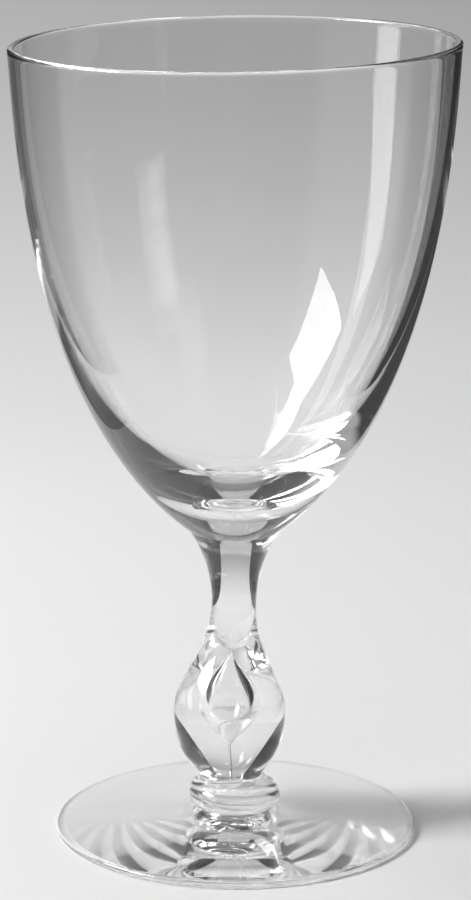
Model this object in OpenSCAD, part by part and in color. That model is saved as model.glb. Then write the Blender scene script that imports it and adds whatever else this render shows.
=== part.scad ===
// Water goblet of clear glass: a blown bowl on a drawn stem, a collar and a foot.
// The stem's bulb holds a sealed drop of air that ends in a hairline.
// Lengths are in millimetres. The foot rests on Z = 0 and every piece is round about Z.
// Each piece meets the next face to face on a flat disc, where the hot gathers were fused.

/* [Overall] */
// Height from the table to the top of the rim
goblet_height = 168; // [145:1:205]
// Outside diameter of the rim
rim_diameter = 92; // [76:1:112]
// Outside diameter of the foot
foot_diameter = 76; // [62:1:92]
// Height of the joint between the stem and the bowl
bowl_joint_height = 65.5; // [54:0.5:79]

/* [Bowl] */
// Thickness of the wall at the rim
rim_wall = 1.4; // [1:0.1:1.9]
// Thickness that the wall gains from the rim down to the bowl joint
wall_gain = 6.6; // [5:0.1:8]
// Thickness of glass between the bowl joint and the inside bottom
floor_thickness = 8.7; // [7:0.1:11]
// Diameter of the joint between the stem and the bowl
bowl_joint_diameter = 19; // [15:0.5:23]

/* [Stem] */
// Diameter of the neck, the narrowest place of the stem
neck_diameter = 9.4; // [7.5:0.1:11.5]
// Height of the neck above the table
neck_height = 49.5; // [44:0.5:53]
// Diameter of the bulb, the widest place of the stem
bulb_diameter = 23.6; // [19.5:0.1:28.5]
// Height of the bulb's widest place above the table
bulb_height = 25.5; // [21:0.5:31]
// Diameter of the joint between the collar and the stem
stem_joint_diameter = 13.4; // [11:0.1:16]

/* [Air drop] */
// Diameter of the drop of air at its widest
drop_diameter = 8.7; // [5:0.1:9.5]
// Height of the drop's widest place above the table
drop_height = 26.3; // [24:0.1:29]
// Length of the drop's tapered upper part, from its widest place to its tip
drop_point_length = 13.2; // [9:0.1:15]
// Length of the drop's rounded lower part
drop_round_length = 6.3; // [4:0.1:8]
// Diameter of the hairline of air that trails below the drop
hairline_diameter = 0.3; // [0.2:0.05:0.5]

/* [Collar] */
// Height of the joint between the collar and the stem
stem_joint_height = 11.8; // [10.5:0.1:14]
// Height of the short neck band on top of the collar
band_height = 1.2; // [0.8:0.1:2]
// Diameter of the neck band where it meets the collar's shoulder
band_diameter = 14.6; // [12:0.1:16.5]
// Diameter of the collar at its widest
collar_diameter = 19.4; // [17.5:0.1:22.5]
// Diameter of the joint between the foot and the collar
foot_joint_diameter = 17.2; // [14.5:0.1:20]

/* [Foot] */
// Height of the joint between the foot and the collar
foot_joint_height = 5.2; // [4.5:0.1:6.2]
// Thickness of the foot near its rounded edge
edge_thickness = 1.7; // [1.4:0.1:2.2]
// Height of the hollow under the middle of the foot
foot_hollow = 0.5; // [0.2:0.1:1.2]
// Width of the flat ring that rests on the table
rest_ring_width = 1.2; // [0.8:0.1:2]

/* [Hidden] */
$fn = 180;

// Number of steps along each curve of an outline
long_steps = 48;
short_steps = 20;
// Number of steps round the edge of the rim and of the foot
edge_steps = 12;

// Radii of the joints and of each piece's widest or narrowest place
rim_radius = rim_diameter / 2;
foot_radius = foot_diameter / 2;
bowl_joint_radius = bowl_joint_diameter / 2;
neck_radius = neck_diameter / 2;
bulb_radius = bulb_diameter / 2;
stem_joint_radius = stem_joint_diameter / 2;
drop_radius = drop_diameter / 2;
hairline_radius = hairline_diameter / 2;
band_radius = band_diameter / 2;
collar_radius = collar_diameter / 2;
foot_joint_radius = foot_joint_diameter / 2;

// Handles of each curve, as shares of its run in radius and in height
bowl_low_shares = [0.884, 0.244];
bowl_rim_shares = [0.035, 0.207];
flare_low_shares = [0, 0.208];
flare_top_shares = [0.911, 0.438];
neck_shares = [0, 0.5];
bulb_top_shares = [0, 0.337];
bulb_low_shares = [0, 0.67];
bulb_base_shares = [0.197, 0.171];
drop_tip_shares = [0.1, 0.35];
drop_wide_shares = [0, 0.4];
drop_round_shares = [0, 0.25];
drop_end_shares = [0.35, 0.35];
shoulder_top_shares = [0.6, 0.2];
shoulder_side_shares = [0, 0.6];
skirt_side_shares = [0, 0.6];
skirt_base_shares = [0.7, 0.1];
foot_fillet_shares = [0.1, 0.2];
foot_rim_shares = [0.5, 0.5];
hollow_ring_shares = [0.7, 0];
hollow_middle_shares = [0.2, 0];
floor_middle_shares = [0.58, 0];
floor_wall_share = 0.165;

// Share of the collar's height below its band at which it is widest
collar_widest_share = 0.26;

// Share of the bowl's outline at which the rounded floor takes over from the wall
floor_start_share = 0.37;
// Power of the distance from the rim with which the wall thickens
wall_power = 3.3;
// Step along the bowl's outline over which its direction is read
slope_share = 0.001;

// Point of a cubic curve from a to b whose handles are shares of its run
function curve_point(a, b, a_shares, b_shares, t) =
    let (run = b - a)
    let (a_handle = [a.x + a_shares.x * run.x, a.y + a_shares.y * run.y])
    let (b_handle = [b.x - b_shares.x * run.x, b.y - b_shares.y * run.y])
    pow(1 - t, 3) * a
    + 3 * pow(1 - t, 2) * t * a_handle
    + 3 * (1 - t) * pow(t, 2) * b_handle
    + pow(t, 3) * b;

// Whole curve as a list of points, both ends included
function curve(a, b, a_shares, b_shares, steps) =
    [for (i = [0 : steps]) curve_point(a, b, a_shares, b_shares, i / steps)];

// Arc about a centre, both ends included, with angles in degrees from the radius axis
function arc(centre, radius, from_angle, to_angle, steps) =
    [for (i = [0 : steps])
        let (angle = from_angle + (to_angle - from_angle) * i / steps)
        centre + radius * [cos(angle), sin(angle)]];

// List without its first point, for joining a curve to the one before it
function rest_of(points) = [for (i = [1 : len(points) - 1]) points[i]];

function unit(v) = v / norm(v);

// Joint points, each shared by the two pieces that meet there
bowl_joint = [bowl_joint_radius, bowl_joint_height];
stem_joint = [stem_joint_radius, stem_joint_height];
foot_joint = [foot_joint_radius, foot_joint_height];

// The rim is rounded over the full wall and leans outwards with the bowl
lip_radius = rim_wall / 2;
lip_centre = [rim_radius - lip_radius, goblet_height - lip_radius];
rim_lean = atan2(
    bowl_rim_shares.x * (rim_radius - bowl_joint_radius),
    bowl_rim_shares.y * (goblet_height - bowl_joint_height));
bowl_top = lip_centre + lip_radius * [cos(rim_lean), -sin(rim_lean)];

// Outside of the bowl at a share t of its outline
function bowl_outside(t) =
    curve_point(bowl_joint, bowl_top, bowl_low_shares, bowl_rim_shares, t);

// The wall thickens downwards, slowly near the rim and faster near the floor
function wall_at(height) =
    let (drop_share = (goblet_height - height) / (goblet_height - bowl_joint_height))
    rim_wall + wall_gain * pow(drop_share, wall_power);

// Inside of the wall, set back squarely from the outside
function bowl_inside(t) =
    let (point = bowl_outside(t))
    let (along = unit(bowl_outside(t + slope_share) - bowl_outside(t - slope_share)))
    point + wall_at(point.y) * [-along.y, along.x];

// The floor is one rounded curve from the wall to the axis
floor_edge = bowl_inside(floor_start_share);
floor_middle = [0, bowl_joint_height + floor_thickness];
wall_slope = unit(bowl_inside(floor_start_share + slope_share) - floor_edge);
floor_rise = floor_edge.y - floor_middle.y;
floor_handle = floor_wall_share * floor_rise / wall_slope.y;
floor_wall_shares = [
    floor_handle * wall_slope.x / floor_edge.x,
    floor_handle * wall_slope.y / floor_rise
];

module bowl() {
    color("gainsboro", 0.5)
    rotate_extrude()
    polygon(concat(
        [[0, bowl_joint_height]],
        [for (i = [0 : long_steps]) bowl_outside(i / long_steps)],
        rest_of(arc(lip_centre, lip_radius, -rim_lean, 180 - rim_lean, edge_steps)),
        [for (i = [1 : long_steps]) bowl_inside(1 + (floor_start_share - 1) * i / long_steps)],
        rest_of(curve(floor_edge, floor_middle, floor_wall_shares, floor_middle_shares, short_steps))
    ));
}

// Outline of the drop of air with its hairline, which stops short of the stem's base
drop_tip = [0, drop_height + drop_point_length];
drop_side = [drop_radius, drop_height];
drop_end = [hairline_radius, drop_height - drop_round_length];
hairline_end_gap = hairline_diameter;

module air_drop() {
    rotate_extrude()
    polygon(concat(
        curve(drop_tip, drop_side, drop_tip_shares, drop_wide_shares, short_steps),
        rest_of(curve(drop_side, drop_end, drop_round_shares, drop_end_shares, short_steps)),
        [[hairline_radius, stem_joint_height + hairline_end_gap]],
        [[0, stem_joint_height + hairline_end_gap]]
    ));
}

module stem() {
    neck_side = [neck_radius, neck_height];
    bulb_side = [bulb_radius, bulb_height];
    color("lightgray", 0.6)
    difference() {
        rotate_extrude()
        polygon(concat(
            [[0, stem_joint_height]],
            curve(stem_joint, bulb_side, bulb_base_shares, bulb_low_shares, short_steps),
            rest_of(curve(bulb_side, neck_side, bulb_top_shares, neck_shares, short_steps)),
            rest_of(curve(neck_side, bowl_joint, flare_low_shares, flare_top_shares, short_steps)),
            [[0, bowl_joint_height]]
        ));
        air_drop();
    }
}

module collar() {
    band_foot = [band_radius, stem_joint_height - band_height];
    widest_height = foot_joint_height + collar_widest_share * (band_foot.y - foot_joint_height);
    widest = [collar_radius, widest_height];
    color("silver", 0.6)
    rotate_extrude()
    polygon(concat(
        [[0, foot_joint_height]],
        curve(foot_joint, widest, skirt_base_shares, skirt_side_shares, short_steps),
        rest_of(curve(widest, band_foot, shoulder_side_shares, shoulder_top_shares, short_steps)),
        [stem_joint],
        [[0, stem_joint_height]]
    ));
}

module foot() {
    edge_radius = edge_thickness / 2;
    edge_centre = [foot_radius - edge_radius, edge_radius];
    edge_top = [edge_centre.x, edge_thickness];
    ring_inner = [edge_centre.x - rest_ring_width, 0];
    color("whitesmoke", 0.5)
    rotate_extrude()
    polygon(concat(
        [[0, foot_joint_height]],
        curve(foot_joint, edge_top, foot_fillet_shares, foot_rim_shares, short_steps),
        rest_of(arc(edge_centre, edge_radius, 90, -90, edge_steps)),
        curve(ring_inner, [0, foot_hollow], hollow_ring_shares, hollow_middle_shares, short_steps)
    ));
}

bowl();
stem();
collar();
foot();
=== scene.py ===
"""Clear glass water goblet standing on a pale table in soft studio light.

The goblet's four fused pieces are turned about the frame's Z axis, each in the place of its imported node.
Sizes of the pieces are in millimetres, and their meshes are in metres.
"""
import logging
import math
from dataclasses import dataclass

import bpy
from mathutils import Matrix, Vector


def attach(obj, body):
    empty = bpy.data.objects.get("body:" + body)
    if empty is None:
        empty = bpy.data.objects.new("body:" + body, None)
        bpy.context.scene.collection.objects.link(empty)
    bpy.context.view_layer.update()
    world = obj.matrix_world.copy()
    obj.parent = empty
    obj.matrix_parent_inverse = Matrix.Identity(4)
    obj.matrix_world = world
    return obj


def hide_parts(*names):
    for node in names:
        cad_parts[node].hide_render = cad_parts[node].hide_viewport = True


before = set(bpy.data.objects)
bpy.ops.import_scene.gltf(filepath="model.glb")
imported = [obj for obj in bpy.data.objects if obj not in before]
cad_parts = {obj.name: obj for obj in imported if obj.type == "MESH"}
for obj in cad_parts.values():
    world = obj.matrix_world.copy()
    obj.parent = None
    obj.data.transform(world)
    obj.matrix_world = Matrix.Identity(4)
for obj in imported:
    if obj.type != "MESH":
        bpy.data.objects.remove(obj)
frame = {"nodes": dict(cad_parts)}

log = logging.getLogger("goblet")

MM = 0.001
# Steps round a quarter of every turned piece, alike so that fused edges meet point to point
QUARTER_STEPS = 64
# Points nearer than this are one point
MERGE_GAP = 0.002 * MM
# The thick edges of the glass pass light on by many inner reflections
LIGHT_BOUNCES = 128
# A face this level, and this near a joint's height in millimetres, belongs to the joint
LEVEL_NORMAL = 0.9999
JOINT_GAP = 0.001
# Edges that turn by more than this stay sharp, in degrees
SHARP_ANGLE = 30
# Step along the bowl's outline over which its direction is read
SLOPE_STEP = 0.001
# Steps along each curve of an outline
LONG_STEPS = 72
SHORT_STEPS = 32
EDGE_STEPS = 14

Point = tuple[float, float]
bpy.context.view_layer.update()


def curve_point(start: Point, end: Point, start_shares: Point, end_shares: Point, t: float) -> Point:
    """Point of a cubic curve whose handles are shares of its run.

    Args:
        start: radius and height of the first end.
        end: radius and height of the last end.
        start_shares: the first handle, as shares of the run in radius and in height.
        end_shares: the last handle, in the same way, reaching back from the end.
        t: place along the curve, from 0 to 1.

    Returns:
        Radius and height of the point.
    """
    place = []
    for axis in range(2):
        run = end[axis] - start[axis]
        a = start[axis] + start_shares[axis] * run
        b = end[axis] - end_shares[axis] * run
        s = 1 - t
        place.append(s ** 3 * start[axis] + 3 * s * s * t * a + 3 * s * t * t * b + t ** 3 * end[axis])
    return place[0], place[1]


def curve(start: Point, end: Point, start_shares: Point, end_shares: Point, steps: int) -> list[Point]:
    """Points of a cubic curve, without its first one.

    Args:
        start: radius and height of the first end.
        end: radius and height of the last end.
        start_shares: the first handle, as shares of the run.
        end_shares: the last handle, as shares of the run.
        steps: how many points to return.

    Returns:
        The points after the start, the end among them.
    """
    return [curve_point(start, end, start_shares, end_shares, i / steps) for i in range(1, steps + 1)]


def arc(centre: Point, radius: float, first: float, last: float, steps: int) -> list[Point]:
    """Points of an arc, without its first one.

    Args:
        centre: radius and height of the arc's centre.
        radius: the arc's own radius.
        first: angle of its start from the radius axis, in radians.
        last: angle of its end.
        steps: how many points to return.

    Returns:
        The points after the start, the end among them.
    """
    angles = [first + (last - first) * i / steps for i in range(1, steps + 1)]
    return [(centre[0] + radius * math.cos(a), centre[1] + radius * math.sin(a)) for a in angles]


def smooth_step(value: float, low: float, high: float) -> float:
    """Share from 0 to 1 that rises smoothly as value goes from low to high."""
    share = min(1.0, max(0.0, (value - low) / (high - low)))
    return share * share * (3 - 2 * share)


@dataclass(frozen=True)
class HandSway:
    """The slight drift of the axis that hand work leaves, and the lean of the rim."""

    # Heights in millimetres, and how far the axis has drifted towards -X there
    drift: tuple[Point, ...] = (
        (0, 0), (5.2, 0), (16, 1.2), (31, 1.15), (41, 0.6), (52, 0.15), (65.5, 0.05), (80, 0))
    rim_fall: float = 1.4

    def shift(self, height: float) -> float:
        """Drift of the axis at a height, eased between the listed places."""
        for (low, low_drift), (high, high_drift) in zip(self.drift, self.drift[1:]):
            if height <= high:
                return low_drift + (high_drift - low_drift) * smooth_step(height, low, high)
        return self.drift[-1][1]

    def apply(self, mesh: bpy.types.Mesh, top: float, joint: float, reach: float) -> None:
        """Moves every point of a mesh by the sway of its height.

        Args:
            mesh: the piece's mesh, in metres.
            top: height of the rim, in millimetres.
            joint: height of the bowl's joint, in millimetres.
            reach: radius of the rim, in millimetres.
        """
        for vertex in mesh.vertices:
            height = vertex.co.z / MM
            side = vertex.co.x / MM
            rise = max(0.0, (height - joint) / (top - joint))
            vertex.co.z -= MM * self.rim_fall * rise * (reach - side) / (2 * reach)
            vertex.co.x -= MM * self.shift(height)


def deselect() -> None:
    """Leaves nothing selected, so that the next operator acts on its own piece only."""
    if bpy.context.object and bpy.context.object.mode != "OBJECT":
        bpy.ops.object.mode_set(mode="OBJECT")
    bpy.ops.object.select_all(action="DESELECT")


def trace_outline(name: str, points: list[Point]) -> bpy.types.Object:
    """Draws an outline edge by edge in the XZ plane, as a wire to be spun.

    Args:
        name: name of the new object.
        points: radius and height of each point, in millimetres.

    Returns:
        The wire, in edit mode with all of it selected.
    """
    deselect()
    start = (points[0][0] * MM, 0, points[0][1] * MM)
    bpy.ops.mesh.primitive_plane_add(size=MM, location=(0, 0, 0))
    wire = bpy.context.object
    wire.name = name
    wire.data.name = name
    bpy.ops.object.mode_set(mode="EDIT")
    bpy.ops.mesh.select_all(action="SELECT")
    bpy.ops.mesh.merge(type="CENTER")
    bpy.ops.transform.translate(value=start)
    for (r0, z0), (r1, z1) in zip(points, points[1:]):
        step = ((r1 - r0) * MM, 0, (z1 - z0) * MM)
        bpy.ops.mesh.extrude_region_move(TRANSFORM_OT_translate={"value": step})
    bpy.ops.mesh.select_all(action="SELECT")
    return wire


def turn(name: str, outlines: list[list[Point]]) -> bpy.types.Object:
    """Turns closed outlines about the Z axis into one closed shell for each.

    Args:
        name: name of the piece.
        outlines: each one's points from the axis back to the axis; the first is the outside.

    Returns:
        The piece, in object mode, with its faces pointing out of the glass.
    """
    shells = []
    for points in outlines:
        shell = trace_outline(name, points)
        bpy.ops.mesh.spin(steps=QUARTER_STEPS, angle=math.pi / 2, center=(0, 0, 0), axis=(0, 0, 1))
        bpy.ops.object.mode_set(mode="OBJECT")
        mirror = shell.modifiers.new("other_quarters", "MIRROR")
        mirror.use_axis = (True, True, False)
        mirror.merge_threshold = MERGE_GAP
        bpy.ops.object.modifier_apply(modifier=mirror.name)
        bpy.ops.object.mode_set(mode="EDIT")
        bpy.ops.mesh.select_all(action="SELECT")
        bpy.ops.mesh.remove_doubles(threshold=MERGE_GAP)
        bpy.ops.mesh.normals_make_consistent(inside=bool(shells))
        bpy.ops.object.mode_set(mode="OBJECT")
        shells.append(shell)
    deselect()
    for shell in shells:
        shell.select_set(True)
    bpy.context.view_layer.objects.active = shells[0]
    if len(shells) > 1:
        bpy.ops.object.join()
    return bpy.context.object


@dataclass(frozen=True)
class ClearGlass:
    """Clear lead-free glass with the faint waves that hand work leaves on it."""

    name: str
    ior: float = 1.52
    # Length and depth of the waves, in millimetres
    wave_size: float = 22.0
    wave_depth: float = 0.02
    wave_detail: float = 1.0

    def build(self) -> bpy.types.Material:
        """Makes the glass.

        Returns:
            The material.
        """
        material = bpy.data.materials.new(self.name)
        material.use_nodes = True
        nodes = material.node_tree.nodes
        links = material.node_tree.links
        shader = nodes["Principled BSDF"]
        shader.inputs["Base Color"].default_value = (1, 1, 1, 1)
        shader.inputs["Transmission Weight"].default_value = 1.0
        shader.inputs["IOR"].default_value = self.ior
        shader.inputs["Roughness"].default_value = 0.0
        place = nodes.new("ShaderNodeTexCoord")
        noise = nodes.new("ShaderNodeTexNoise")
        noise.inputs["Scale"].default_value = 1 / (self.wave_size * MM)
        noise.inputs["Detail"].default_value = self.wave_detail
        bump = nodes.new("ShaderNodeBump")
        bump.inputs["Strength"].default_value = 1.0
        bump.inputs["Distance"].default_value = self.wave_depth * MM
        links.new(place.outputs["Object"], noise.inputs["Vector"])
        links.new(noise.outputs["Fac"], bump.inputs["Height"])
        links.new(bump.outputs["Normal"], shader.inputs["Normal"])
        return material


@dataclass(frozen=True)
class FusedJoint:
    """The inside of a fused joint, where glass meets glass and light goes straight on."""

    name: str = "fused_joint"

    def build(self) -> bpy.types.Material:
        """Makes the clear joint.

        Returns:
            The material.
        """
        material = bpy.data.materials.new(self.name)
        material.use_nodes = True
        shader = material.node_tree.nodes["Principled BSDF"]
        shader.inputs["Base Color"].default_value = (1, 1, 1, 1)
        shader.inputs["Alpha"].default_value = 0.0
        return material


@dataclass(frozen=True)
class GobletSizes:
    """Sizes that more than one piece takes, in millimetres."""

    height: float = 168.0
    rim_radius: float = 46.0
    bowl_joint: Point = (9.5, 65.5)
    stem_joint: Point = (6.7, 11.8)
    foot_joint: Point = (8.6, 5.2)


@dataclass
class TurnedPiece:
    """A piece of the goblet, turned about its axis."""

    node: str
    slot: str
    glass: ClearGlass
    joint_heights: tuple[float, ...]
    whole: GobletSizes

    def outlines(self) -> list[list[Point]]:
        """Outlines of the piece, the outside first."""
        raise NotImplementedError

    def make(self, joint: bpy.types.Material, sway: HandSway) -> bpy.types.Object:
        """Models the piece, dresses it and puts it in its node's place.

        Args:
            joint: material of the fused joints.
            sway: the drift that hand work leaves.

        Returns:
            The finished piece.
        """
        piece = turn(self.node + "_glass", self.outlines())
        piece.data.materials.append(self.glass.build())
        piece.data.materials.append(joint)
        for face in piece.data.polygons:
            flat = abs(face.normal.z) > LEVEL_NORMAL
            at_joint = any(abs(face.center.z / MM - height) < JOINT_GAP for height in self.joint_heights)
            face.material_index = 1 if flat and at_joint else 0
        bpy.ops.object.shade_smooth_by_angle(angle=math.radians(SHARP_ANGLE))
        sway.apply(piece.data, self.whole.height, self.whole.bowl_joint[1], self.whole.rim_radius)
        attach(piece, "root")
        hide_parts(self.node)
        log.info("%s: %d faces", piece.name, len(piece.data.polygons))
        return piece


@dataclass
class Bowl(TurnedPiece):
    """The blown bowl: a thin wall on a thick floor, with a rounded rim."""

    rim_wall: float = 1.4
    wall_gain: float = 6.6
    wall_power: float = 3.3
    floor_thickness: float = 8.7
    low_shares: Point = (0.884, 0.244)
    rim_shares: Point = (0.035, 0.207)
    floor_start: float = 0.37
    floor_wall_share: float = 0.165
    floor_middle_share: float = 0.58

    def outside(self, t: float) -> Point:
        """Point of the outside at a share t of the way from the joint to the rim."""
        return curve_point(self.whole.bowl_joint, self.top(), self.low_shares, self.rim_shares, t)

    def lean(self) -> float:
        """Angle by which the wall leans outwards at the rim, in radians."""
        run = self.rim_shares[0] * (self.whole.rim_radius - self.whole.bowl_joint[0])
        rise = self.rim_shares[1] * (self.whole.height - self.whole.bowl_joint[1])
        return math.atan2(run, rise)

    def lip(self) -> Point:
        """Centre of the rounded lip."""
        return self.whole.rim_radius - self.rim_wall / 2, self.whole.height - self.rim_wall / 2

    def top(self) -> Point:
        """Point where the outside runs into the lip."""
        r, z = self.lip()
        half = self.rim_wall / 2
        return r + half * math.cos(self.lean()), z - half * math.sin(self.lean())

    def along(self, t: float) -> Vector:
        """Direction of the outside at a share t, as a unit vector."""
        before = Vector(self.outside(t - SLOPE_STEP))
        after = Vector(self.outside(t + SLOPE_STEP))
        return (after - before).normalized()

    def inside(self, t: float) -> Point:
        """Point of the inside wall, set back squarely from the outside at t."""
        r, z = self.outside(t)
        top, low = self.whole.height, self.whole.bowl_joint[1]
        wall = self.rim_wall + self.wall_gain * ((top - z) / (top - low)) ** self.wall_power
        run = self.along(t)
        return r - wall * run.y, z + wall * run.x

    def outlines(self) -> list[list[Point]]:
        """One outline: up the outside, over the lip and down the inside to the floor."""
        lean = self.lean()
        half = self.rim_wall / 2
        points = [(0.0, self.whole.bowl_joint[1]), self.whole.bowl_joint]
        points += [self.outside(i / LONG_STEPS) for i in range(1, LONG_STEPS + 1)]
        points += arc(self.lip(), half, -lean, math.pi - lean, EDGE_STEPS)
        shares = [1 - (1 - self.floor_start) * i / LONG_STEPS for i in range(1, LONG_STEPS + 1)]
        points += [self.inside(t) for t in shares]
        edge = self.inside(self.floor_start)
        slope = (Vector(self.inside(self.floor_start + SLOPE_STEP)) - Vector(edge)).normalized()
        middle = (0.0, self.whole.bowl_joint[1] + self.floor_thickness)
        rise = edge[1] - middle[1]
        handle = self.floor_wall_share * rise / slope.y
        wall_shares = (handle * slope.x / edge[0], handle * slope.y / rise)
        points += curve(edge, middle, wall_shares, (self.floor_middle_share, 0), SHORT_STEPS)
        return [points]


@dataclass
class Stem(TurnedPiece):
    """The drawn stem: a flare, a neck and a bulb with a drop of air in it."""

    neck: Point = (4.7, 49.5)
    bulb: Point = (11.8, 25.5)
    drop: Point = (4.35, 26.3)
    drop_point: float = 13.2
    drop_round: float = 6.3
    hairline: float = 0.15
    hairline_gap: float = 0.3
    flare_shares: tuple[Point, Point] = ((0, 0.208), (0.911, 0.438))
    neck_shares: tuple[Point, Point] = ((0, 0.337), (0, 0.5))
    base_shares: tuple[Point, Point] = ((0.197, 0.171), (0, 0.67))
    tip_shares: tuple[Point, Point] = ((0.1, 0.35), (0, 0.4))
    end_shares: tuple[Point, Point] = ((0, 0.25), (0.35, 0.35))

    def outlines(self) -> list[list[Point]]:
        """Two outlines: the outside of the stem, and the drop of air with its hairline."""
        base = self.whole.stem_joint
        top = self.whole.bowl_joint
        outside = [(0.0, base[1]), base]
        outside += curve(base, self.bulb, *self.base_shares, SHORT_STEPS)
        outside += curve(self.bulb, self.neck, *self.neck_shares, SHORT_STEPS)
        outside += curve(self.neck, top, *self.flare_shares, SHORT_STEPS)
        outside += [(0.0, top[1])]
        tip = (0.0, self.drop[1] + self.drop_point)
        end = (self.hairline, self.drop[1] - self.drop_round)
        air = [tip]
        air += curve(tip, self.drop, *self.tip_shares, SHORT_STEPS)
        air += curve(self.drop, end, *self.end_shares, SHORT_STEPS)
        low_end = base[1] + self.hairline_gap
        air += [(self.hairline, low_end), (0.0, low_end)]
        return [outside, air]


@dataclass
class Collar(TurnedPiece):
    """The rounded button of glass between the bulb and the foot."""

    band: Point = (7.3, 10.6)
    radius: float = 9.7
    widest_height: float = 6.604
    skirt_shares: tuple[Point, Point] = ((0.7, 0.1), (0, 0.6))
    shoulder_shares: tuple[Point, Point] = ((0, 0.6), (0.6, 0.2))

    def outlines(self) -> list[list[Point]]:
        """One outline, from the foot's joint up to the stem's."""
        low = self.whole.foot_joint
        widest = (self.radius, self.widest_height)
        points = [(0.0, low[1]), low]
        points += curve(low, widest, *self.skirt_shares, SHORT_STEPS)
        points += curve(widest, self.band, *self.shoulder_shares, SHORT_STEPS)
        points += [self.whole.stem_joint, (0.0, self.whole.stem_joint[1])]
        return [points]


@dataclass
class Foot(TurnedPiece):
    """The round foot, rising to the collar, with a rounded edge and a hollow underside."""

    radius: float = 38.0
    edge_thickness: float = 1.7
    hollow: float = 0.5
    ring_width: float = 1.2
    top_shares: tuple[Point, Point] = ((0.1, 0.2), (0.5, 0.5))
    hollow_shares: tuple[Point, Point] = ((0.7, 0), (0.2, 0))

    def outlines(self) -> list[list[Point]]:
        """One outline: over the top, round the edge and back under the foot."""
        joint = self.whole.foot_joint
        half = self.edge_thickness / 2
        centre = (self.radius - half, half)
        ring = (centre[0] - self.ring_width, 0.0)
        points = [(0.0, joint[1]), joint]
        points += curve(joint, (centre[0], self.edge_thickness), *self.top_shares, SHORT_STEPS)
        points += arc(centre, half, math.pi / 2, -math.pi / 2, EDGE_STEPS)
        points += [ring]
        points += curve(ring, (0.0, self.hollow), *self.hollow_shares, SHORT_STEPS)
        return [points]


@dataclass(frozen=True)
class Viewpoint:
    """The photograph's camera, placed from the foot's centre, in millimetres and degrees."""

    distance: float = 676.7
    height: float = 252.1
    pitch: float = 14.074
    focal_pixels: float = 3357.2
    frame: tuple[int, int] = (471, 900)
    axis_pixel: float = 235.0
    sensor: float = 24.0
    near_clip: float = 0.05
    far_clip: float = 50.0

    def build(self) -> bpy.types.Object:
        """Adds the camera.

        Returns:
            The camera.
        """
        data = bpy.data.cameras.new("view")
        camera = bpy.data.objects.new("view", data)
        bpy.context.scene.collection.objects.link(camera)
        width, tall = self.frame
        side = (width / 2 - self.axis_pixel) / self.focal_pixels * self.distance
        camera.matrix_world = Matrix.LocRotScale(
            Vector((side * MM, -self.distance * MM, self.height * MM)),
            Matrix.Rotation(math.radians(90 - self.pitch), 3, "X"),
            Vector((1, 1, 1)),
        )
        data.sensor_fit = "VERTICAL"
        data.sensor_height = self.sensor
        data.lens = data.sensor_height * self.focal_pixels / tall
        data.clip_start = self.near_clip
        data.clip_end = self.far_clip
        bpy.context.scene.camera = camera
        return camera


@dataclass(frozen=True)
class SoftBox:
    """A rectangular soft light that faces the goblet, with its size in metres and its place in degrees.

    Bearings run from the camera's side, with the right positive, and climbs from the table upwards.
    A light with on_paper off shows in the glass only, and one with on_glass off lights the paper only.
    """

    name: str
    bearing: float
    climb: float
    distance: float
    width: float
    tall: float
    glow: float
    roll: float = 0.0
    aim: float = 0.1
    on_paper: bool = True
    on_glass: bool = True

    def build(self) -> bpy.types.Object:
        """Adds the light, which the camera itself doesn't see.

        Returns:
            The light.
        """
        data = bpy.data.lights.new(self.name, "AREA")
        data.shape = "RECTANGLE"
        data.size = self.width
        data.size_y = self.tall
        data.energy = self.glow * math.pi * self.width * self.tall
        light = bpy.data.objects.new(self.name, data)
        bpy.context.scene.collection.objects.link(light)
        turn_to, rise = math.radians(self.bearing), math.radians(self.climb)
        flat = self.distance * math.cos(rise)
        height = self.aim + self.distance * math.sin(rise)
        light.location = (flat * math.sin(turn_to), -flat * math.cos(turn_to), height)
        facing = Matrix.Rotation(turn_to, 3, "Z") @ Matrix.Rotation(math.pi / 2 - rise, 3, "X")
        light.rotation_euler = (facing @ Matrix.Rotation(math.radians(self.roll), 3, "Z")).to_euler()
        light.visible_camera = False
        light.visible_diffuse = self.on_paper
        light.visible_glossy = self.on_glass
        light.visible_transmission = self.on_glass
        return light


@dataclass(frozen=True)
class Glow:
    """A soft-edged patch of the surroundings, with its place, half sizes and edge in degrees."""

    bearing: float
    climb: float
    half_width: float
    half_tall: float
    edge: float
    level: float


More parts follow.
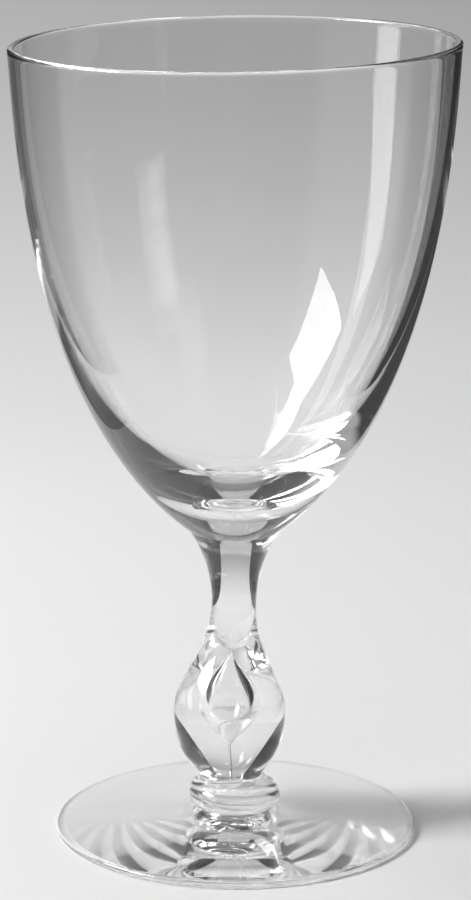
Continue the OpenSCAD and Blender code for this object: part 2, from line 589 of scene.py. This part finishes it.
class NodeKit:
    """Short ways to add nodes to one tree."""

    def __init__(self, tree: bpy.types.NodeTree) -> None:
        """Keeps the tree.

        Args:
            tree: node tree of a material or world.
        """
        self.nodes = tree.nodes
        self.links = tree.links

    def math(self, operation: str, first: object, second: object = 0.0) -> bpy.types.NodeSocket:
        """Adds a Math node.

        Args:
            operation: name of the operation.
            first: socket or number.
            second: socket or number.

        Returns:
            The result's socket.
        """
        node = self.nodes.new("ShaderNodeMath")
        node.operation = operation
        for slot, value in enumerate((first, second)):
            if isinstance(value, bpy.types.NodeSocket):
                self.links.new(value, node.inputs[slot])
            else:
                node.inputs[slot].default_value = value
        return node.outputs[0]

    def step(
        self, value: bpy.types.NodeSocket, low: float, high: float, top: float = 1.0
    ) -> bpy.types.NodeSocket:
        """Adds a smooth rise from 0 to top as value goes from low to high.

        Args:
            value: the socket that is read.
            low: where the rise begins.
            high: where it ends.
            top: the result above it.

        Returns:
            The result's socket.
        """
        node = self.nodes.new("ShaderNodeMapRange")
        node.interpolation_type = "SMOOTHSTEP"
        self.links.new(value, node.inputs["Value"])
        for name, number in (("From Min", low), ("From Max", high), ("To Min", 0.0), ("To Max", top)):
            node.inputs[name].default_value = number
        return node.outputs["Result"]

    def ramp(self, value: bpy.types.NodeSocket, stops: tuple[Point, ...]) -> bpy.types.NodeSocket:
        """Adds a grey ramp.

        Args:
            value: the socket that is read, from 0 to 1.
            stops: place and grey level of each stop.

        Returns:
            The colour's socket.
        """
        node = self.nodes.new("ShaderNodeValToRGB")
        node.color_ramp.interpolation = "B_SPLINE"
        elements = node.color_ramp.elements
        while len(elements) < len(stops):
            elements.new(0.5)
        for element, (place, grey) in zip(elements, stops):
            element.position = place
            element.color = (grey, grey, grey, 1)
        self.links.new(value, node.inputs["Fac"])
        return node.outputs["Color"]


@dataclass
class Studio:
    """The pale paper under the goblet and the soft light round it, with sizes in metres."""

    table_radius: float = 6.0
    table_sides: int = 96
    paper_roughness: float = 0.9
    # Distance over which the table's greys run, and the backdrop's distance as a multiple of it
    ramp_length: float = 1.6
    backdrop_ramp: float = 1.25
    # Greys of the paper that the lamps light, painted lighter near the goblet and greyer further out as a
    # painted falloff of light, and how much of its light comes from the lamps; the rest is a painted glow
    paper_painted_falloff: tuple[Point, ...] = (
        (0.0, 0.78), (0.05, 0.85), (0.17, 0.87), (0.25, 0.8), (0.35, 0.745))
    lit_share: float = 0.95
    # Greys of the far paper, which takes over from lit_near to lit_far: it glows with painted light of its
    # own, a painted falloff that grows dimmer with distance
    far_painted_greys: tuple[Point, ...] = (
        (0.0, 0.87), (0.15, 0.79), (0.25, 0.71), (0.35, 0.626),
        (0.49, 0.543), (0.68, 0.4645), (0.95, 0.409), (1.0, 0.4))
    lit_near: float = 0.25
    lit_far: float = 0.5
    # The far paper is painted a little lighter on the left and darker on the right, a painted shade away from
    # the lamps on the left, eased over this far on each side
    side_painted_shade: float = 0.2
    side_reach: float = 0.25
    # The paper under the lamps is painted darker, a painted shade that takes the edge off their light,
    # between these places on the left
    lamp_painted_shade: float = 0.5
    lamp_start: float = -0.08
    lamp_end: float = -0.4
    # The narrow sheet that the goblet stands on and that sweeps up behind it, as the glass shows it
    sheet_right: float = 0.094
    sheet_left: float = 0.115
    sheet_front: float = -0.09
    sheet_back: float = 0.33
    sheet_top: float = 0.38
    cove: float = 0.24
    # Painted glow of the backdrop, which is no lamp: greys that darken higher up, with the table distance it
    # lines up with, and lighten again at the top
    backdrop_painted_greys: tuple[Point, ...] = (
        (0.0, 0.8), (0.06, 0.79), (0.14, 0.735), (0.2, 0.645), (0.28, 0.545),
        (0.39, 0.46), (0.55, 0.395), (0.78, 0.36), (0.9, 0.43), (1.0, 0.54))
    # Softness of the sheet's edge, and the least height below the eye at which its grey is worked out
    cut: float = 0.002
    least_fall: float = 0.02
    # The floor beyond the sheet, as the glass shows it, is painted shade of the unlit room, less dark on the
    # left where the lamps stand: dark up to a bearing of dark_edge from straight behind, pale from pale_edge
    right_grey: float = 0.06
    left_grey: float = 0.17
    grey_blend: float = 0.05
    dark_edge: float = 76.0
    pale_edge: float = 86.0
    # The paper under the foot, painted brighter: a painted pool of light in place of the light that comes
    # through the glass
    foot_painted_light: float = 0.45
    foot_painted_light_edge: float = 0.0382
    foot_painted_light_full: float = 0.0362
    # Light of the dark room, and the grey that the camera itself sees beyond the table
    sky_base: float = 0.06
    sky_grey: float = 0.75
    lights: tuple[SoftBox, ...] = (
        SoftBox("window", -80.5, 32, 1.5, 0.89, 0.58, 16.0, on_paper=False),
        SoftBox("shade_box", -80.5, 32, 1.5, 0.45, 0.45, 40.8, on_glass=False),
        SoftBox("upper_box", -110, 50, 1.5, 0.7, 0.5, 5.0),
        SoftBox("low_card", -96.5, 4.5, 1.5, 0.29, 0.66, 3.0, 54),
        SoftBox("window_core", -86, 32, 1.45, 0.4, 0.56, 14.0, on_paper=False),
    )
    glows: tuple[Glow, ...] = (
        Glow(-80, 25, 25, 25, 15, 0.4),
        Glow(0, 90, 180, 30, 15, 0.15),
    )

    def sheet_mask(self, kit: NodeKit, parts: bpy.types.Node) -> bpy.types.NodeSocket:
        """Where the narrow sheet of paper lies on the table.

        Args:
            kit: the material's nodes.
            parts: the node that gives the place on the table.

        Returns:
            Socket that is 1 on the sheet and 0 off it.
        """
        x, y = parts.outputs["X"], parts.outputs["Y"]
        across = kit.math("MULTIPLY", kit.step(x, self.sheet_right + self.cut, self.sheet_right),
                          kit.step(x, -self.sheet_left - self.cut, -self.sheet_left))
        along = kit.math("MULTIPLY", kit.step(y, self.sheet_front - self.cut, self.sheet_front),
                         kit.step(y, self.sheet_back + self.cut, self.sheet_back))
        return kit.math("MULTIPLY", across, along)

    def painted_room_shade(self, kit: NodeKit, parts: bpy.types.Node) -> bpy.types.NodeSocket:
        """Painted shade of the floor round the sheet: dark at the back corners as an unlit room, less dark on
        the left, pale at the sides and the front.

        Args:
            kit: the material's nodes.
            parts: the node that gives the place on the table.

        Returns:
            Socket with the share of the paper's own grey.
        """
        bearing = kit.math("ARCTAN2", parts.outputs["X"], parts.outputs["Y"])
        dark, pale = math.radians(self.dark_edge), math.radians(self.pale_edge)
        side = kit.math("ABSOLUTE", bearing)
        side_share = kit.step(parts.outputs["X"], self.grey_blend, -self.grey_blend)
        left = kit.math("MULTIPLY", side_share, self.left_grey - self.right_grey)
        return kit.math("MAXIMUM", kit.math("ADD", left, self.right_grey), kit.step(side, dark, pale))

    def backdrop(self) -> bpy.types.Object:
        """Adds the part of the sheet that sweeps up behind, seen only by reflection and through the glass. It
        is no lamp, yet glows with painted greys in place of lit paper.

        Returns:
            The backdrop.
        """
        low = self.sheet_back - self.cove
        profile = [(low / MM, 0.0)]
        profile += arc((low / MM, self.cove / MM), self.cove / MM, -math.pi / 2, 0.0, EDGE_STEPS)
        profile += [(self.sheet_back / MM, self.sheet_top / MM)]
        sheet = trace_outline("backdrop", profile)
        bpy.ops.transform.translate(value=(0, -self.sheet_right, 0))
        width = self.sheet_right + self.sheet_left
        bpy.ops.mesh.extrude_region_move(TRANSFORM_OT_translate={"value": (0, width, 0)})
        bpy.ops.mesh.select_all(action="SELECT")
        bpy.ops.object.mode_set(mode="OBJECT")
        sheet.data.transform(Matrix.Rotation(math.pi / 2, 4, "Z"))
        material = bpy.data.materials.new("backdrop_paper")
        material.use_nodes = True
        kit = NodeKit(material.node_tree)
        parts = kit.nodes.new("ShaderNodeSeparateXYZ")
        kit.links.new(kit.nodes.new("ShaderNodeTexCoord").outputs["Object"], parts.inputs[0])
        view = Viewpoint()
        depth, height = view.distance * MM, view.height * MM
        # Place on the flat table that the photograph's viewpoint sees in the same line as the backdrop
        run = kit.math("ADD", kit.math("MULTIPLY", parts.outputs["Y"], height),
                       kit.math("MULTIPLY", parts.outputs["Z"], depth))
        fall = kit.math("MAXIMUM", kit.math("SUBTRACT", height, parts.outputs["Z"]), self.least_fall)
        reach = kit.math("DIVIDE", run, fall)
        # Painted glow: the backdrop's grey is emitted, not lit
        grey = kit.ramp(kit.math("DIVIDE", reach, self.ramp_length * self.backdrop_ramp), self.backdrop_painted_greys)
        shader = kit.nodes["Principled BSDF"]
        shader.inputs["Base Color"].default_value = (0, 0, 0, 1)
        shader.inputs["Specular IOR Level"].default_value = 0.0
        shader.inputs["Emission Strength"].default_value = 1.0
        kit.links.new(grey, shader.inputs["Emission Color"])
        clear = kit.nodes.new("ShaderNodeBsdfTransparent")
        blend = kit.nodes.new("ShaderNodeMixShader")
        path = kit.nodes.new("ShaderNodeLightPath")
        kit.links.new(kit.math("MAXIMUM", path.outputs["Is Glossy Ray"], path.outputs["Is Transmission Ray"]),
                      blend.inputs["Fac"])
        kit.links.new(clear.outputs[0], blend.inputs[1])
        kit.links.new(shader.outputs[0], blend.inputs[2])
        kit.links.new(blend.outputs[0], kit.nodes["Material Output"].inputs["Surface"])
        sheet.data.materials.append(material)
        return sheet

    def table(self) -> bpy.types.Object:
        """Adds the table, painted lighter near the goblet and greyer far away as a painted falloff of light,
        and glowing with painted light where it is far.

        Returns:
            The table.
        """
        deselect()
        bpy.ops.mesh.primitive_circle_add(
            vertices=self.table_sides, radius=self.table_radius, fill_type="NGON")
        table = bpy.context.object
        table.name = "table"
        material = bpy.data.materials.new("table_paper")
        material.use_nodes = True
        kit = NodeKit(material.node_tree)
        place = kit.nodes.new("ShaderNodeTexCoord").outputs["Object"]
        parts = kit.nodes.new("ShaderNodeSeparateXYZ")
        kit.links.new(place, parts.inputs[0])
        reach = kit.nodes.new("ShaderNodeVectorMath")
        reach.operation = "LENGTH"
        kit.links.new(place, reach.inputs[0])
        share = kit.math("DIVIDE", reach.outputs["Value"], self.ramp_length)
        # Painted shade: the far paper is lighter on the left, towards the lamps, and darker on the right
        right = kit.step(parts.outputs["X"], -self.side_reach, self.side_reach, self.side_painted_shade)
        side_shade_factor = kit.math("SUBTRACT", 1 + self.side_painted_shade / 2, right)
        # Off the sheet, the paper that the glass shows is painted dark as shade of the unlit room
        paper = kit.math("MAXIMUM", self.sheet_mask(kit, parts), self.painted_room_shade(kit, parts))
        seen = kit.nodes.new("ShaderNodeLightPath").outputs["Is Camera Ray"]
        bright = kit.math("MAXIMUM", paper, seen)
        # Painted light: the paper under the foot is made brighter, out to the foot's edge
        through = kit.step(reach.outputs["Value"], self.foot_painted_light_edge, self.foot_painted_light_full, self.foot_painted_light)
        under = kit.math("ADD", through, 1.0)
        bright = kit.math("MULTIPLY", bright, under)
        far = kit.step(reach.outputs["Value"], self.lit_near, self.lit_far)
        # Painted shade on the paper under the lamps, so that their light on it looks even
        painted_lamp_shade = kit.step(parts.outputs["X"], self.lamp_start, self.lamp_end, self.lamp_painted_shade)
        even = kit.math("SUBTRACT", 1.0, painted_lamp_shade)
        near = kit.math("MULTIPLY", bright, kit.math("MULTIPLY", even, kit.math("SUBTRACT", 1.0, far)))
        # Painted falloff of light: the near paper's greys grow darker away from the goblet
        lit = kit.math("MULTIPLY", kit.ramp(share, self.paper_painted_falloff), near)
        # Painted glow of the far paper, dimmer with distance, in place of the lamps' light
        far_painted_glow = kit.math("MULTIPLY", kit.ramp(share, self.far_painted_greys),
                        kit.math("MULTIPLY", bright, kit.math("MULTIPLY", side_shade_factor, far)))
        shader = kit.nodes["Principled BSDF"]
        shader.inputs["Roughness"].default_value = self.paper_roughness
        shader.inputs["Specular IOR Level"].default_value = 0.0
        kit.links.new(kit.math("MULTIPLY", lit, self.lit_share), shader.inputs["Base Color"])
        # The share of the near paper that the lamps don't light is a painted glow, and the far paper glows
        # with painted light of its own
        kit.links.new(kit.math("ADD", kit.math("MULTIPLY", lit, 1 - self.lit_share), far_painted_glow),
                      shader.inputs["Emission Color"])
        shader.inputs["Emission Strength"].default_value = 1.0
        table.data.materials.append(material)
        return table

    def world(self) -> bpy.types.World:
        """Adds the surroundings: soft patches of light on a dark room.

        Returns:
            The world.
        """
        world = bpy.data.worlds.new("studio")
        bpy.context.scene.world = world
        world.use_nodes = True
        kit = NodeKit(world.node_tree)
        parts = kit.nodes.new("ShaderNodeSeparateXYZ")
        kit.links.new(kit.nodes.new("ShaderNodeTexCoord").outputs["Generated"], parts.inputs[0])
        bearing = kit.math("ARCTAN2", parts.outputs["X"], kit.math("MULTIPLY", parts.outputs["Y"], -1.0))
        climb = kit.math("ARCSINE", parts.outputs["Z"])
        total = self.sky_base
        for glow in self.glows:
            turned = kit.math("WRAP", kit.math("SUBTRACT", bearing, math.radians(glow.bearing)), math.pi)
            turned.node.inputs[2].default_value = -math.pi
            raised = kit.math("SUBTRACT", climb, math.radians(glow.climb))
            patch = glow.level
            for offset, half in ((turned, glow.half_width), (raised, glow.half_tall)):
                far, near = math.radians(half + glow.edge), math.radians(half)
                patch = kit.math("MULTIPLY", kit.step(kit.math("ABSOLUTE", offset), far, near), patch)
            total = kit.math("ADD", total, patch)
        seen = kit.nodes.new("ShaderNodeLightPath").outputs["Is Camera Ray"]
        grey = kit.math("MAXIMUM", total, kit.math("MULTIPLY", seen, self.sky_grey))
        kit.links.new(grey, kit.nodes["Background"].inputs["Color"])
        return world

    def build(self) -> None:
        """Adds the table, the surroundings and the lights."""
        self.table()
        self.backdrop()
        self.world()
        for light in self.lights:
            light.build()


def main() -> None:
    """Builds the goblet and its studio."""
    logging.basicConfig(level=logging.INFO, format="%(name)s: %(message)s")
    scene = bpy.context.scene
    scene.view_settings.view_transform = "Standard"
    scene.cycles.use_denoising = True
    scene.cycles.max_bounces = LIGHT_BOUNCES
    scene.cycles.transparent_max_bounces = LIGHT_BOUNCES
    scene.cycles.transmission_bounces = LIGHT_BOUNCES
    scene.cycles.glossy_bounces = LIGHT_BOUNCES
    sizes = GobletSizes()
    sway = HandSway()
    joint = FusedJoint().build()
    top, middle, low = sizes.bowl_joint[1], sizes.stem_joint[1], sizes.foot_joint[1]
    pieces = [
        Bowl("bowl", "bowl_glass", ClearGlass("bowl_glass"), (top,), sizes),
        Stem("stem", "stem_glass", ClearGlass("stem_glass"), (top, middle), sizes),
        Collar("collar", "collar_glass", ClearGlass("collar_glass"), (middle, low), sizes),
        Foot("foot", "foot_glass", ClearGlass("foot_glass"), (low,), sizes),
    ]
    for piece in pieces:
        piece.make(joint, sway)
    Studio().build()
    Viewpoint().build()


if __name__ == "__main__":
    main()
